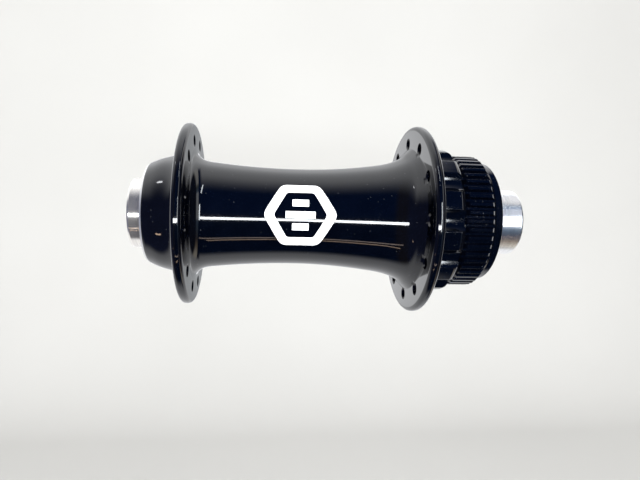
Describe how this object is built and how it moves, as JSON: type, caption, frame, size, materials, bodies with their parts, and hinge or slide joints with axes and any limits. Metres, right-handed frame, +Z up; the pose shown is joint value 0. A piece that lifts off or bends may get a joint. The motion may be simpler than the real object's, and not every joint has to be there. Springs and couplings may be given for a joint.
{
  "type": "bicycle front hub",
  "caption": "Front hub for a spoked bicycle wheel: a flanged black shell turns on sealed bearings round a hollow axle with push-on end caps, and carries a splined disc-rotor mount.",
  "frame": {"origin": "on the axle line, midway between the two end caps' outer faces, where the wheel's centre plane would be if the fork were centred on it", "axes": "+Y along the axle towards the disc-rotor side, +X forwards across the axle, +Z up"},
  "size_m": [0.0494, 0.1, 0.0494],
  "materials": {
    "shell_black": "gloss",
    "shell_mark": "satin",
    "cap_aluminium": "brushed",
    "axle_aluminium": "satin",
    "bearing_steel": "satin",
    "ball_steel": "polished",
    "cage_plastic": "matte",
    "seal_rubber": "matte",
    "ring_rubber": "matte"
  },
  "bodies": {
    "axle": {"axle_tube": "axle_aluminium", "left_bearing_inner_race": "bearing_steel", "right_bearing_inner_race": "bearing_steel", "left_cap_o_ring": "ring_rubber", "right_cap_o_ring": "ring_rubber"},
    "shell": {"hub_shell": "shell_black", "left_bearing_outer_race": "bearing_steel", "left_bearing_outboard_seal": "seal_rubber", "left_bearing_inboard_seal": "seal_rubber", "right_bearing_outer_race": "bearing_steel", "right_bearing_outboard_seal": "seal_rubber", "right_bearing_inboard_seal": "seal_rubber"},
    "left_ball_set": {"left_bearing_cage": "cage_plastic", "left_bearing_ball_01": "ball_steel", "left_bearing_ball_02": "ball_steel", "left_bearing_ball_03": "ball_steel", "left_bearing_ball_04": "ball_steel", "left_bearing_ball_05": "ball_steel", "left_bearing_ball_06": "ball_steel", "left_bearing_ball_07": "ball_steel", "left_bearing_ball_08": "ball_steel", "left_bearing_ball_09": "ball_steel", "left_bearing_ball_10": "ball_steel", "left_bearing_ball_11": "ball_steel", "left_bearing_ball_12": "ball_steel", "left_bearing_ball_13": "ball_steel", "left_bearing_ball_14": "ball_steel"},
    "right_ball_set": {"right_bearing_cage": "cage_plastic", "right_bearing_ball_01": "ball_steel", "right_bearing_ball_02": "ball_steel", "right_bearing_ball_03": "ball_steel", "right_bearing_ball_04": "ball_steel", "right_bearing_ball_05": "ball_steel", "right_bearing_ball_06": "ball_steel", "right_bearing_ball_07": "ball_steel", "right_bearing_ball_08": "ball_steel", "right_bearing_ball_09": "ball_steel", "right_bearing_ball_10": "ball_steel", "right_bearing_ball_11": "ball_steel", "right_bearing_ball_12": "ball_steel", "right_bearing_ball_13": "ball_steel", "right_bearing_ball_14": "ball_steel"},
    "left_cap": {"left_end_cap": "cap_aluminium"},
    "right_cap": {"right_end_cap": "cap_aluminium"}
  },
  "joints": [
    {"name": "shell_spin", "type": "hinge", "parent": "axle", "child": "shell", "pos_m": [0, 0, 0], "axis": [0, 1, 0], "continuous": true},
    {"name": "left_balls_spin", "type": "hinge", "parent": "axle", "child": "left_ball_set", "pos_m": [0, -0.042, 0], "axis": [0, 1, 0], "continuous": true},
    {"name": "right_balls_spin", "type": "hinge", "parent": "axle", "child": "right_ball_set", "pos_m": [0, 0.028, 0], "axis": [0, 1, 0], "continuous": true},
    {"name": "left_end_cap_pull", "type": "slide", "parent": "axle", "child": "left_cap", "axis": [0, -1, 0], "range_m": [0, 0.008]},
    {"name": "right_end_cap_pull", "type": "slide", "parent": "axle", "child": "right_cap", "axis": [0, 1, 0], "range_m": [0, 0.014]}
  ],
  "couplings": [
    {"joint": "left_balls_spin", "follows": "shell_spin", "ratio": 0.5617},
    {"joint": "right_balls_spin", "follows": "shell_spin", "ratio": 0.5617}
  ]
}
